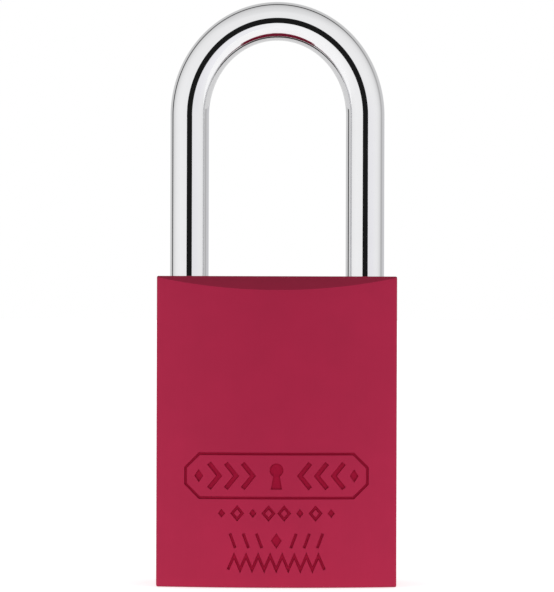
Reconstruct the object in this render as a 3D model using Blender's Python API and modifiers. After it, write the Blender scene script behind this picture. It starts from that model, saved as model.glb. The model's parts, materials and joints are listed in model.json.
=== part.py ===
"""A keyed aluminium safety padlock.

A solid body holds a round steel shackle. Two balls in a cross channel lock both shackle legs, and a
rotary actuator between the balls drives them. A six-pin cylinder in the underside turns the actuator
through a flat drive bar. The lock is shown closed, with its cylinder turned to the open position.

Frame: the origin is the centre of the underside, +Z is up, and the front faces -Y.
"""

import math

import bmesh
import bpy
from mathutils import Matrix, Vector

MM = 0.001
UP, DOWN, RIGHT = (0, 0, 1), (0, 0, -1), (1, 0, 0)

# Body
BODY_WIDTH = 40.0 * MM
BODY_HEIGHT = 51.7 * MM
BODY_SIDE_DEPTH = 15.3 * MM
BODY_CROWN = 2.1 * MM  # how far the middle of the front and back stands out from their edges
CHAMFER_INSET = 0.22 * MM  # from the body's side depth to the chamfer's edge on the top face
CHAMFER_WEDGE = 8.0 * MM  # the chamfer cutter's size
BODY_ARC_STEPS = 16

# Shackle
SHACKLE_RADIUS = 3.25 * MM
LEG_X = 14.8 * MM
ARCH_Z = 78.8 * MM  # where the legs' straight part ends and the arch begins
ARCH_RISE = 15.95 * MM  # of the bar's centre line: the arch is a little taller than a half circle
TOE_END_Z = 36.6 * MM
HEEL_END_Z = 21.0 * MM
SHACKLE_LIFT = 16.0 * MM
SHACKLE_END_ROUND = 0.6 * MM
ARCH_STEPS = 24
LEG_SIDES = 32
LEG_CLEARANCE = 0.2 * MM
LEG_HOLE_RADIUS = SHACKLE_RADIUS + LEG_CLEARANCE
TOE_HOLE_FLOOR_Z = TOE_END_Z - 1.2 * MM
HEEL_HOLE_FLOOR_Z = 11.0 * MM

# Locking balls, in a channel along X
BALL_RADIUS = 3.0 * MM
BALL_Z = 41.0 * MM
CHANNEL_RADIUS = BALL_RADIUS + 0.15 * MM
BALL_LOCKED_X = 9.9 * MM
TOE_BALL_X = 8.3 * MM  # released, which is the rest position
HEEL_BALL_X = 9.1 * MM  # released, still in the flat of the heel leg, which keeps the shackle in
HEEL_FLAT_DEPTH = 0.8 * MM
HEEL_FLAT_OVERRUN = 2.0 * MM  # room for the ball at each end of its travel along the flat
CHANNEL_SIDES = 24

# Actuator: a cam with a deep pocket for the toe ball and a shallow one for the heel ball
ACTUATOR_RADIUS = 6.6 * MM
ACTUATOR_GAP = 0.3 * MM
ACTUATOR_BOTTOM_Z = 37.0 * MM
ACTUATOR_TOP_Z = 45.0 * MM
ACTUATOR_BOSS_RADIUS = 3.0 * MM
ACTUATOR_BOSS_HEIGHT = 1.2 * MM
ACTUATOR_BORE_RADIUS = 6.9 * MM
ACTUATOR_BORE_TOP_Z = 46.5 * MM
ACTUATOR_SLOT_DEPTH = 3.0 * MM
CAM_STEPS = 48

# Cylinder, on the body's vertical axis, with its pin block towards +X
FACE_RECESS = 0.3 * MM
HOUSING_RADIUS = 7.5 * MM
HOUSING_BORE_RADIUS = 6.1 * MM
HOUSING_TOP_Z = 31.0 * MM
HOUSING_FIT = 0.15 * MM
CAVITY_TOP_Z = HOUSING_TOP_Z + 0.3 * MM
PIN_BLOCK_X = 15.5 * MM
PIN_BLOCK_WIDTH = 7.0 * MM
PLUG_RADIUS = 6.0 * MM
PLUG_SHOULDER_Z = 30.7 * MM
PLUG_END_Z = 33.0 * MM
PLUG_NECK_RADIUS = 4.4 * MM
PLUG_FLANGE_RADIUS = 6.6 * MM
PLUG_FLANGE_TOP_Z = 1.4 * MM
FLANGE_FIT = 0.1 * MM
KEYWAY_WIDTH = 2.2 * MM
KEYWAY_BOTTOM = -5.2 * MM  # keyway heights are measured from the plug's axis towards the pins
KEYWAY_TOP = 3.0 * MM
KEYWAY_WARD = 0.6 * MM  # depth of the groove in one side of the keyway
KEYWAY_WARD_START = 1.2 * MM  # the groove's edges, measured from the keyway's bottom
KEYWAY_WARD_END = 2.4 * MM
CYLINDER_SIDES = 48

# Pins. Key pins stand in the plug with their tops at the shear line, driver pins in the housing.
PIN_COUNT = 6
PIN_PITCH = 3.75 * MM
FIRST_PIN_Z = 5.5 * MM
PIN_RADIUS = 1.4 * MM
PIN_HOLE_RADIUS = 1.5 * MM
PIN_SIDES = 16
PIN_CHAMFER = 0.3 * MM
KEY_PIN_POINT_LENGTH = 1.0 * MM
KEY_PIN_POINT_RADIUS = 0.4 * MM
KEY_PIN_TOP = 5.75 * MM
KEY_PIN_HOLE_BOTTOM = 0.2 * MM
KEY_PIN_LENGTHS = [length * MM for length in (4.2, 3.2, 5.0, 3.8, 4.6, 3.4)]
DRIVER_START_X = 6.15 * MM
DRIVER_END_X = 10.4 * MM
PIN_SPRING_END_X = 14.4 * MM
PIN_SPRING_GAP = 0.1 * MM
PIN_SPRING_WIRE = 0.15 * MM
PIN_SPRING_RADIUS = 1.15 * MM
PIN_SPRING_TURNS = 5
COVER_THICKNESS = 0.8 * MM
COVER_WIDTH = 3.8 * MM
COVER_FIT = 0.15 * MM
COVER_X = PIN_BLOCK_X - 0.1 * MM  # its outer face, just inside the block's
COVER_END_MARGIN = 2.0 * MM

# Small cylinder pieces
TAIL_CAP_RADIUS = 6.6 * MM
TAIL_CAP_BOTTOM_Z = 31.3 * MM
TAIL_CAP_TOP_Z = 32.8 * MM
TAIL_CAP_FIT = 0.15 * MM
CAP_PIN_RADIUS = 0.5 * MM
CAP_PIN_OFFSET = 5.2 * MM
CAP_PIN_BOTTOM_Z = 29.3 * MM
CAP_PIN_TOP_Z = 32.0 * MM
CAP_PIN_FIT = 0.12 * MM
CAP_SPRING_BOTTOM_Z = 27.3 * MM
CAP_SPRING_RADIUS = 0.38 * MM
CAP_SPRING_WIRE = 0.08 * MM
CAP_SPRING_TURNS = 4
CAP_SPRING_GAP = 0.1 * MM
DRILL_PIN_RADIUS = 0.7 * MM
DRILL_PIN_OFFSET = 3.5 * MM
DRILL_PIN_LENGTH = 5.2 * MM
DRILL_PIN_BOTTOM_Z = 0.4 * MM
DRILL_PIN_FIT = 0.1 * MM
DRILL_HOLE_TOP_Z = 6.0 * MM
DRIVE_BAR_LENGTH = 7.0 * MM
DRIVE_BAR_WIDTH = 2.2 * MM
DRIVE_BAR_BOTTOM_Z = 31.9 * MM
DRIVE_BAR_TOP_Z = 39.7 * MM
DRIVE_COLLAR_RADIUS = 3.9 * MM
DRIVE_COLLAR_BOTTOM_Z = 33.4 * MM
DRIVE_COLLAR_TOP_Z = 36.6 * MM
SLOT_FIT = 0.3 * MM
SCREW_X = 13.0 * MM
SCREW_RADIUS = 1.2 * MM
SCREW_HOLE_RADIUS = 1.35 * MM
SCREW_BOTTOM_Z = 27.2 * MM
SCREW_TOP_Z = 34.9 * MM
SCREW_END_GAP = 0.3 * MM
SOCKET_ACROSS_CORNERS = 1.5 * MM
SOCKET_DEPTH = 1.4 * MM
SMALL_SIDES = 12

# Spring under the heel leg, compressed while the shackle is home
SHACKLE_SPRING_WIRE = 0.35 * MM
SHACKLE_SPRING_RADIUS = 2.7 * MM
SHACKLE_SPRING_TURNS = 7
SHACKLE_SPRING_GAP = 0.3 * MM  # at each end

OVERCUT = 1.0 * MM  # how far a cutter runs past the face it opens


# ---- scene, materials and small helpers -------------------------------------------------------

def clear_scene():
    for obj in list(bpy.data.objects):
        bpy.data.objects.remove(obj, do_unlink=True)


def new_collection(name):
    collection = bpy.data.collections.new(name)
    bpy.context.scene.collection.children.link(collection)
    return collection


def new_finish(name, colour, roughness, metallic):
    finish = bpy.data.materials.new(name)
    finish.use_nodes = True
    shader = finish.node_tree.nodes["Principled BSDF"]
    shader.inputs["Base Color"].default_value = (*colour, 1.0)
    shader.inputs["Roughness"].default_value = roughness
    shader.inputs["Metallic"].default_value = metallic
    return finish


def add_part(name, data, finish, matrix=Matrix()):
    obj = bpy.data.objects.new(name, data)
    data.materials.append(finish)
    obj.matrix_world = matrix
    parts.objects.link(obj)
    return obj


def add_cutter(name, data, matrix=Matrix()):
    obj = bpy.data.objects.new(name, data)
    obj.matrix_world = matrix
    obj.hide_render = True
    obj.display_type = "WIRE"
    cutters.objects.link(obj)
    return obj


def combine(target, operation, *others):
    for other in others:
        modifier = target.modifiers.new(f"{operation.lower()} {other.name}", "BOOLEAN")
        modifier.operation = operation
        modifier.object = other


def cut(target, *others):
    combine(target, "DIFFERENCE", *others)


def along(direction, start=(0, 0, 0)):
    """The matrix that takes local +Z to a direction and the local origin to a start point."""
    turn = Vector(UP).rotation_difference(Vector(direction))
    return Matrix.Translation(start) @ turn.to_matrix().to_4x4()


def mesh_from(bm, name):
    mesh = bpy.data.meshes.new(name)
    bm.to_mesh(mesh)
    bm.free()
    return mesh


def shade_round(obj, degrees=35):
    obj.data.shade_smooth()
    obj.data.set_sharp_from_angle(angle=math.radians(degrees))


# ---- basic shapes -----------------------------------------------------------------------------

def rod(radius, length, sides):
    """A cylinder standing on the local origin."""
    bm = bmesh.new()
    bmesh.ops.create_cone(
        bm, cap_ends=True, segments=sides, radius1=radius, radius2=radius, depth=length
    )
    bmesh.ops.translate(bm, verts=bm.verts, vec=(0, 0, length / 2))
    return mesh_from(bm, "rod")


def block(low, high):
    """A box between two corners."""
    low, high = Vector(low), Vector(high)
    bm = bmesh.new()
    bmesh.ops.create_cube(bm, size=1)
    bmesh.ops.scale(bm, verts=bm.verts, vec=high - low)
    bmesh.ops.translate(bm, verts=bm.verts, vec=(low + high) / 2)
    return mesh_from(bm, "block")


def ball(radius, segments=16):
    bm = bmesh.new()
    bmesh.ops.create_uvsphere(bm, u_segments=segments, v_segments=segments // 2, radius=radius)
    return mesh_from(bm, "ball")


def turned(obj_maker, name, profile, sides, *maker_args, closed=False):
    """A profile of (radius, height) points turned about local Z.

    The points run down the outer side. A closed profile is a ring's cross-section.
    """
    mesh = bpy.data.meshes.new(name)
    edges = [(i, i + 1) for i in range(len(profile) - 1)]
    if closed:
        edges.append((len(profile) - 1, 0))
    mesh.from_pydata([(radius, 0, height) for radius, height in profile], edges, [])
    obj = obj_maker(name, mesh, *maker_args)
    screw = obj.modifiers.new("turn", "SCREW")
    screw.steps = screw.render_steps = sides
    screw.use_merge_vertices = True
    screw.merge_threshold = 1e-6
    return obj


def mesh_of_curve(curve, name):
    """A curve's surface as one closed mesh."""
    guide = bpy.data.objects.new(name, curve)
    bpy.context.scene.collection.objects.link(guide)
    graph = bpy.context.evaluated_depsgraph_get()
    mesh = bpy.data.meshes.new_from_object(guide.evaluated_get(graph))
    bm = bmesh.new()
    bm.from_mesh(mesh)
    bmesh.ops.remove_doubles(bm, verts=bm.verts, dist=1e-6)
    bmesh.ops.recalc_face_normals(bm, faces=bm.faces)
    bm.to_mesh(mesh)
    bm.free()
    bpy.data.objects.remove(guide)
    bpy.data.curves.remove(curve)
    mesh.name = name
    return mesh


def poly_curve(name, points, dimensions="3D", closed=False):
    curve = bpy.data.curves.new(name, "CURVE")
    curve.dimensions = dimensions
    spline = curve.splines.new("POLY")
    spline.points.add(len(points) - 1)
    for spot, point in zip(spline.points, points):
        spot.co = (*point, 1.0)
    spline.use_cyclic_u = closed
    return curve


def prism(name, outline, bottom_z, top_z):
    """A flat outline of (x, y) points extruded from one height to another."""
    curve = poly_curve(name, [(x, y, 0) for x, y in outline], "2D", closed=True)
    curve.fill_mode = "BOTH"
    curve.extrude = (top_z - bottom_z) / 2
    mesh = mesh_of_curve(curve, name)
    mesh.transform(Matrix.Translation((0, 0, (bottom_z + top_z) / 2)))
    return mesh


def coil(name, finish, matrix, radius, wire_radius, length, turns, steps, sides_level):
    """A helical compression spring along local Z, as a curve with filled caps."""
    rise = length - 2 * wire_radius
    count = turns * steps
    points = [
        (
            radius * math.cos(math.tau * i / steps),
            radius * math.sin(math.tau * i / steps),
            wire_radius + rise * i / count,
        )
        for i in range(count + 1)
    ]
    curve = poly_curve(name, points)
    curve.bevel_depth = wire_radius
    curve.bevel_resolution = sides_level
    curve.use_fill_caps = True
    return add_part(name, curve, finish, matrix)


# ---- body -------------------------------------------------------------------------------------

def half_depth(x):
    """Half of the body's depth at a distance from its middle: the front and back are arcs."""
    radius = ((BODY_WIDTH / 2) ** 2 + BODY_CROWN**2) / (2 * BODY_CROWN)
    return BODY_SIDE_DEPTH / 2 + math.sqrt(radius**2 - x**2) - (radius - BODY_CROWN)


def body_outline():
    xs = [BODY_WIDTH * (i / BODY_ARC_STEPS - 0.5) for i in range(BODY_ARC_STEPS + 1)]
    front = [(x, -half_depth(x)) for x in xs]
    back = [(x, half_depth(x)) for x in reversed(xs)]
    return front + back


def chamfer_cutter(name, side):
    """A wedge at 45 degrees over the front (-1) or back (+1) edge of the top face."""
    reach = BODY_WIDTH / 2 + OVERCUT
    edge_y = side * (BODY_SIDE_DEPTH / 2 - CHAMFER_INSET)
    turn = Matrix.Rotation(-side * math.radians(45), 4, "X")
    return add_cutter(
        name,
        block((-reach, -CHAMFER_WEDGE, 0), (reach, CHAMFER_WEDGE, CHAMFER_WEDGE)),
        Matrix.Translation((0, edge_y, BODY_HEIGHT)) @ turn,
    )


def make_lock_body():
    body = add_part(
        "lock_body", prism("lock_body", body_outline(), 0, BODY_HEIGHT), finishes["red_anodised"]
    )
    top = BODY_HEIGHT + OVERCUT
    toe_hole = add_cutter(
        "toe_hole",
        rod(LEG_HOLE_RADIUS, top - TOE_HOLE_FLOOR_Z, LEG_SIDES),
        Matrix.Translation((LEG_X, 0, TOE_HOLE_FLOOR_Z)),
    )
    heel_hole = add_cutter(
        "heel_hole",
        rod(LEG_HOLE_RADIUS, top - HEEL_HOLE_FLOOR_Z, LEG_SIDES),
        Matrix.Translation((-LEG_X, 0, HEEL_HOLE_FLOOR_Z)),
    )
    channel_reach = LEG_X - LEG_HOLE_RADIUS + OVERCUT
    channel = add_cutter(
        "ball_channel",
        rod(CHANNEL_RADIUS, 2 * channel_reach, CHANNEL_SIDES),
        along(RIGHT, (-channel_reach, 0, BALL_Z)),
    )
    actuator_bore = add_cutter(
        "actuator_bore",
        rod(ACTUATOR_BORE_RADIUS, ACTUATOR_BORE_TOP_Z - HOUSING_TOP_Z, CYLINDER_SIDES),
        Matrix.Translation((0, 0, HOUSING_TOP_Z)),
    )
    cylinder_bore = add_cutter(
        "cylinder_bore",
        rod(HOUSING_RADIUS + HOUSING_FIT, CAVITY_TOP_Z + OVERCUT, CYLINDER_SIDES),
        Matrix.Translation((0, 0, -OVERCUT)),
    )
    slot_y = PIN_BLOCK_WIDTH / 2 + HOUSING_FIT
    pin_block_slot = add_cutter(
        "pin_block_slot",
        block((0, -slot_y, -OVERCUT), (PIN_BLOCK_X + HOUSING_FIT, slot_y, CAVITY_TOP_Z)),
    )
    screw_hole = add_cutter(
        "body_screw_hole",
        rod(SCREW_HOLE_RADIUS, TOE_HOLE_FLOOR_Z - CAVITY_TOP_Z + 2 * OVERCUT, PIN_SIDES),
        Matrix.Translation((SCREW_X, 0, CAVITY_TOP_Z - OVERCUT)),
    )
    cut(body, chamfer_cutter("front_chamfer", -1), chamfer_cutter("back_chamfer", 1))
    cut(body, toe_hole, heel_hole, actuator_bore, channel)
    cut(body, cylinder_bore, pin_block_slot, screw_hole)
    shade_round(body)


# ---- shackle and its spring -------------------------------------------------------------------

def shackle_path():
    """From the end of the heel leg over the arch to the end of the toe leg."""
    arch = [math.pi - math.pi * i / ARCH_STEPS for i in range(ARCH_STEPS + 1)]
    return (
        [(-LEG_X, 0, HEEL_END_Z)]
        + [(LEG_X * math.cos(a), 0, ARCH_Z + ARCH_RISE * math.sin(a)) for a in arch]
        + [(LEG_X, 0, TOE_END_Z)]
    )


def bevel_ends(mesh, width, segments=2):
    """Rounds the edges of a bar's two flat end faces."""
    bm = bmesh.new()
    bm.from_mesh(mesh)
    rims = [edge for edge in bm.edges if edge.calc_face_angle(0) > math.radians(60)]
    bmesh.ops.bevel(bm, geom=rims, offset=width, segments=segments, affect="EDGES", clamp_overlap=True)
    bm.to_mesh(mesh)
    bm.free()


def make_shackle():
    curve = poly_curve("shackle", shackle_path())
    curve.bevel_depth = SHACKLE_RADIUS
    curve.bevel_resolution = 10
    curve.use_fill_caps = True
    mesh = mesh_of_curve(curve, "shackle")
    bevel_ends(mesh, SHACKLE_END_ROUND)
    mesh.transform(Matrix.Translation((LEG_X, 0, 0)))
    shackle = add_part("shackle", mesh, finishes["chrome"], Matrix.Translation((-LEG_X, 0, 0)))
    for name, side in (("heel_notch", -1), ("toe_notch", 1)):
        notch = add_cutter(
            name,
            ball(CHANNEL_RADIUS, CHANNEL_SIDES),
            Matrix.Translation((side * BALL_LOCKED_X, 0, BALL_Z)),
        )
        cut(shackle, notch)
    flat_x = -LEG_X + SHACKLE_RADIUS - HEEL_FLAT_DEPTH
    groove_z = BALL_Z - SHACKLE_LIFT
    flat = add_cutter(
        "heel_flat",
        block(
            (flat_x, -SHACKLE_RADIUS - OVERCUT, groove_z - HEEL_FLAT_OVERRUN),
            (flat_x + 2 * OVERCUT, SHACKLE_RADIUS + OVERCUT, BALL_Z + HEEL_FLAT_OVERRUN),
        ),
    )
    bpy.ops.mesh.primitive_torus_add(
        location=(-LEG_X, 0, groove_z),
        major_radius=LEG_X - BALL_LOCKED_X,
        minor_radius=CHANNEL_RADIUS,
        major_segments=CHANNEL_SIDES,
        minor_segments=16,
    )
    ring = bpy.context.object
    groove = add_cutter("heel_groove", ring.data, ring.matrix_world.copy())
    bpy.data.objects.remove(ring)
    cut(shackle, flat, groove)
    shade_round(shackle)


def make_shackle_spring():
    start = HEEL_HOLE_FLOOR_Z + SHACKLE_SPRING_GAP
    coil(
        "shackle_spring",
        finishes["spring_steel"],
        Matrix.Translation((-LEG_X, 0, start)),
        SHACKLE_SPRING_RADIUS,
        SHACKLE_SPRING_WIRE,
        HEEL_END_Z - SHACKLE_SPRING_GAP - start,
        SHACKLE_SPRING_TURNS,
        steps=12,
        sides_level=1,
    )


# ---- locking balls and actuator ---------------------------------------------------------------

def make_balls():
    for name, x in (("toe_ball", TOE_BALL_X), ("heel_ball", -HEEL_BALL_X)):
        piece = add_part(
            name, ball(BALL_RADIUS), finishes["hardened_steel"], Matrix.Translation((x, 0, BALL_Z))
        )
        shade_round(piece, 60)


def cam_radius(angle):
    """The actuator's radius. Its pockets face the released balls, and its full radius lies
    a quarter turn away, where it holds both balls out in the shackle's notches."""
    ball_x = TOE_BALL_X if math.cos(angle) > 0 else HEEL_BALL_X
    pocket = ACTUATOR_RADIUS - (ball_x - BALL_RADIUS - ACTUATOR_GAP)
    return ACTUATOR_RADIUS - pocket * math.cos(angle) ** 2


def make_actuator():
    angles = [math.tau * i / CAM_STEPS for i in range(CAM_STEPS)]
    outline = [(cam_radius(a) * math.cos(a), cam_radius(a) * math.sin(a)) for a in angles]
    actuator = add_part(
        "actuator",
        prism("actuator", outline, ACTUATOR_BOTTOM_Z, ACTUATOR_TOP_Z),
        finishes["hardened_steel"],
    )
    boss = add_cutter(
        "actuator_boss",
        rod(ACTUATOR_BOSS_RADIUS, ACTUATOR_BOSS_HEIGHT + OVERCUT, CHANNEL_SIDES),
        Matrix.Translation((0, 0, ACTUATOR_TOP_Z - OVERCUT)),
    )
    half_length = DRIVE_BAR_LENGTH / 2 + SLOT_FIT
    half_width = DRIVE_BAR_WIDTH / 2 + SLOT_FIT
    slot = add_cutter(
        "actuator_slot",
        block(
            (-half_length, -half_width, ACTUATOR_BOTTOM_Z - OVERCUT),
            (half_length, half_width, ACTUATOR_BOTTOM_Z + ACTUATOR_SLOT_DEPTH),
        ),
    )
    combine(actuator, "UNION", boss)
    cut(actuator, slot)
    shade_round(actuator)
    return actuator


# ---- cylinder ---------------------------------------------------------------------------------

def pin_heights():
    return [FIRST_PIN_Z + PIN_PITCH * i for i in range(PIN_COUNT)]


def make_plug():
    """The plug is shown turned open: its pin holes face +Y, a quarter turn from the drivers."""
    plug = turned(
        add_part,
        "plug",
        [
            (0, PLUG_END_Z),
            (PLUG_NECK_RADIUS, PLUG_END_Z),
            (PLUG_NECK_RADIUS, PLUG_SHOULDER_Z),
            (PLUG_RADIUS, PLUG_SHOULDER_Z),
            (PLUG_RADIUS, PLUG_FLANGE_TOP_Z),
            (PLUG_FLANGE_RADIUS, PLUG_FLANGE_TOP_Z),
            (PLUG_FLANGE_RADIUS, FACE_RECESS),
            (0, FACE_RECESS),
        ],
        CYLINDER_SIDES,
        finishes["brass"],
    )
    keyway = add_cutter(
        "keyway",
        block(
            (-KEYWAY_WIDTH / 2, KEYWAY_BOTTOM, FACE_RECESS - OVERCUT),
            (KEYWAY_WIDTH / 2, KEYWAY_TOP, PLUG_SHOULDER_Z - 2 * OVERCUT),
        ),
    )
    ward_groove = add_cutter(
        "keyway_ward_groove",
        block(
            (0, KEYWAY_BOTTOM + KEYWAY_WARD_START, FACE_RECESS - OVERCUT),
            (
                KEYWAY_WIDTH / 2 + KEYWAY_WARD,
                KEYWAY_BOTTOM + KEYWAY_WARD_END,
                PLUG_SHOULDER_Z - 2 * OVERCUT,
            ),
        ),
    )
    cut(plug, keyway, ward_groove)
    for i, z in enumerate(pin_heights(), start=1):
        hole = add_cutter(
            f"plug_pin_hole_{i}",
            rod(PIN_HOLE_RADIUS, PLUG_FLANGE_RADIUS - KEY_PIN_HOLE_BOTTOM + OVERCUT, PIN_SIDES),
            along((0, 1, 0), (0, KEY_PIN_HOLE_BOTTOM, z)),
        )
        cut(plug, hole)
    cap_pin_hole = add_cutter(
        "plug_cap_pin_hole",
        rod(CAP_PIN_RADIUS + CAP_PIN_FIT, PLUG_END_Z - CAP_SPRING_BOTTOM_Z, SMALL_SIDES),
        Matrix.Translation((-CAP_PIN_OFFSET, 0, CAP_SPRING_BOTTOM_Z - CAP_SPRING_GAP)),
    )
    rear_slot = add_cutter(
        "plug_rear_slot",
        block(
            (-PLUG_NECK_RADIUS - OVERCUT, -DRIVE_BAR_WIDTH / 2 - SLOT_FIT, DRIVE_BAR_BOTTOM_Z - SLOT_FIT),
            (PLUG_NECK_RADIUS + OVERCUT, DRIVE_BAR_WIDTH / 2 + SLOT_FIT, PLUG_END_Z + OVERCUT),
        ),
    )
    cut(plug, cap_pin_hole, rear_slot)
    for name, x in (("left", -DRILL_PIN_OFFSET), ("right", DRILL_PIN_OFFSET)):
        hole = add_cutter(
            f"drill_pin_hole_{name}",
            rod(DRILL_PIN_RADIUS + DRILL_PIN_FIT, DRILL_HOLE_TOP_Z + OVERCUT, SMALL_SIDES),
            Matrix.Translation((x, 0, -OVERCUT)),
        )
        cut(plug, hole)
    shade_round(plug)
    return plug


def make_housing():
    """A tube round the plug, joined to the block that holds the drivers and their springs."""
    counterbore_z = PLUG_FLANGE_TOP_Z + FLANGE_FIT
    counterbore_radius = PLUG_FLANGE_RADIUS + FLANGE_FIT
    housing = turned(
        add_part,
        "cylinder_housing",
        [
            (0, HOUSING_TOP_Z),
            (HOUSING_RADIUS, HOUSING_TOP_Z),
            (HOUSING_RADIUS, FACE_RECESS),
            (0, FACE_RECESS),
        ],
        CYLINDER_SIDES,
        finishes["nickel_silver"],
    )
    pin_block = add_cutter(
        "pin_block",
        block((0, -PIN_BLOCK_WIDTH / 2, FACE_RECESS), (PIN_BLOCK_X, PIN_BLOCK_WIDTH / 2, HOUSING_TOP_Z)),
    )
    combine(housing, "UNION", pin_block)
    bore = turned(
        add_cutter,
        "plug_bore",
        [
            (0, HOUSING_TOP_Z + OVERCUT),
            (HOUSING_BORE_RADIUS, HOUSING_TOP_Z + OVERCUT),
            (HOUSING_BORE_RADIUS, counterbore_z),
            (counterbore_radius, counterbore_z),
            (counterbore_radius, FACE_RECESS - OVERCUT),
            (0, FACE_RECESS - OVERCUT),
        ],
        CYLINDER_SIDES,
    )
    groove_x = COVER_X - COVER_THICKNESS - COVER_FIT
    cover_y = COVER_WIDTH / 2 + COVER_FIT
    cover_groove = add_cutter(
        "cover_groove",
        block(
            (groove_x, -cover_y, pin_heights()[0] - COVER_END_MARGIN - COVER_FIT),
            (PIN_BLOCK_X + OVERCUT, cover_y, pin_heights()[-1] + COVER_END_MARGIN + COVER_FIT),
        ),
    )
    screw_hole = add_cutter(
        "housing_screw_hole",
        rod(SCREW_HOLE_RADIUS, HOUSING_TOP_Z - SCREW_BOTTOM_Z + SCREW_END_GAP + OVERCUT, PIN_SIDES),
        Matrix.Translation((SCREW_X, 0, SCREW_BOTTOM_Z - SCREW_END_GAP)),
    )
    cut(housing, bore, cover_groove, screw_hole)
    for i, z in enumerate(pin_heights(), start=1):
        chamber = add_cutter(
            f"pin_chamber_{i}",
            rod(PIN_HOLE_RADIUS, groove_x - HOUSING_BORE_RADIUS + 2 * OVERCUT, PIN_SIDES),
            along(RIGHT, (HOUSING_BORE_RADIUS - OVERCUT, 0, z)),
        )
        cut(housing, chamber)
    shade_round(housing)
    add_part(
        "pin_chamber_cover",
        block(
            (COVER_X - COVER_THICKNESS, -COVER_WIDTH / 2, pin_heights()[0] - COVER_END_MARGIN),
            (COVER_X, COVER_WIDTH / 2, pin_heights()[-1] + COVER_END_MARGIN),
        ),
        finishes["brass"],
    )


def make_pins():
    """Returns the pieces that turn with the plug."""
    turning = []
    for i, (z, length) in enumerate(zip(pin_heights(), KEY_PIN_LENGTHS), start=1):
        key_pin = turned(
            add_part,
            f"key_pin_{i}",
            [
                (0, length),
                (PIN_RADIUS - PIN_CHAMFER, length),
                (PIN_RADIUS, length - PIN_CHAMFER),
                (PIN_RADIUS, KEY_PIN_POINT_LENGTH),
                (KEY_PIN_POINT_RADIUS, 0),
                (0, 0),
            ],
            PIN_SIDES,
            finishes["brass"],
            along((0, 1, 0), (0, KEY_PIN_TOP - length, z)),
        )
        shade_round(key_pin)
        turning.append(key_pin)
        length = DRIVER_END_X - DRIVER_START_X
        driver = turned(
            add_part,
            f"driver_pin_{i}",
            [
                (0, length),
                (PIN_RADIUS - PIN_CHAMFER, length),
                (PIN_RADIUS, length - PIN_CHAMFER),
                (PIN_RADIUS, PIN_CHAMFER),
                (PIN_RADIUS - PIN_CHAMFER, 0),
                (0, 0),
            ],
            PIN_SIDES,
            finishes["nickel_silver"],
            along(RIGHT, (DRIVER_START_X, 0, z)),
        )
        shade_round(driver)
        spring_x = DRIVER_END_X + PIN_SPRING_GAP
        coil(
            f"pin_spring_{i}",
            finishes["spring_steel"],
            along(RIGHT, (spring_x, 0, z)),
            PIN_SPRING_RADIUS,
            PIN_SPRING_WIRE,
            PIN_SPRING_END_X - spring_x,
            PIN_SPRING_TURNS,
            steps=8,
            sides_level=0,
        )
    return turning


def make_tail_cap():
    cap = turned(
        add_part,
        "tail_cap",
        [
            (TAIL_CAP_RADIUS, TAIL_CAP_TOP_Z),
            (TAIL_CAP_RADIUS, TAIL_CAP_BOTTOM_Z),
            (PLUG_NECK_RADIUS + TAIL_CAP_FIT, TAIL_CAP_BOTTOM_Z),
            (PLUG_NECK_RADIUS + TAIL_CAP_FIT, TAIL_CAP_TOP_Z),
        ],
        LEG_SIDES,
        finishes["brass"],
        closed=True,
    )
    pin_hole = add_cutter(
        "cap_pin_hole",
        rod(
            CAP_PIN_RADIUS + CAP_PIN_FIT,
            TAIL_CAP_TOP_Z - TAIL_CAP_BOTTOM_Z + 2 * OVERCUT,
            SMALL_SIDES,
        ),
        Matrix.Translation((-CAP_PIN_OFFSET, 0, TAIL_CAP_BOTTOM_Z - OVERCUT)),
    )
    cut(cap, pin_hole)
    shade_round(cap)
    pin = add_part(
        "cap_pin",
        rod(CAP_PIN_RADIUS, CAP_PIN_TOP_Z - CAP_PIN_BOTTOM_Z, SMALL_SIDES),
        finishes["hardened_steel"],
        Matrix.Translation((-CAP_PIN_OFFSET, 0, CAP_PIN_BOTTOM_Z)),
    )
    shade_round(pin)
    spring = coil(
        "cap_pin_spring",
        finishes["spring_steel"],
        Matrix.Translation((-CAP_PIN_OFFSET, 0, CAP_SPRING_BOTTOM_Z)),
        CAP_SPRING_RADIUS,
        CAP_SPRING_WIRE,
        CAP_PIN_BOTTOM_Z - CAP_SPRING_BOTTOM_Z - CAP_SPRING_GAP,
        CAP_SPRING_TURNS,
        steps=6,
        sides_level=0,
    )
    return [cap, pin, spring]


def make_drive_bar():
    """A flat bar with a round collar: its lower end sits in the plug, its upper in the actuator."""
    bar = add_part(
        "drive_bar",
        block(
            (-DRIVE_BAR_LENGTH / 2, -DRIVE_BAR_WIDTH / 2, DRIVE_BAR_BOTTOM_Z),
            (DRIVE_BAR_LENGTH / 2, DRIVE_BAR_WIDTH / 2, DRIVE_BAR_TOP_Z),
        ),
        finishes["hardened_steel"],
    )
    collar = add_cutter(
        "drive_collar",
        rod(DRIVE_COLLAR_RADIUS, DRIVE_COLLAR_TOP_Z - DRIVE_COLLAR_BOTTOM_Z, CHANNEL_SIDES),
        Matrix.Translation((0, 0, DRIVE_COLLAR_BOTTOM_Z)),
    )
    combine(bar, "UNION", collar)
    return bar


def make_drill_pins():
    pins = []
    for i, x in enumerate((-DRILL_PIN_OFFSET, DRILL_PIN_OFFSET), start=1):
        pin = add_part(
            f"drill_guard_pin_{i}",
            rod(DRILL_PIN_RADIUS, DRILL_PIN_LENGTH, SMALL_SIDES),
            finishes["hardened_steel"],
            Matrix.Translation((x, 0, DRILL_PIN_BOTTOM_Z)),
        )
        shade_round(pin)
        pins.append(pin)
    return pins


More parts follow.
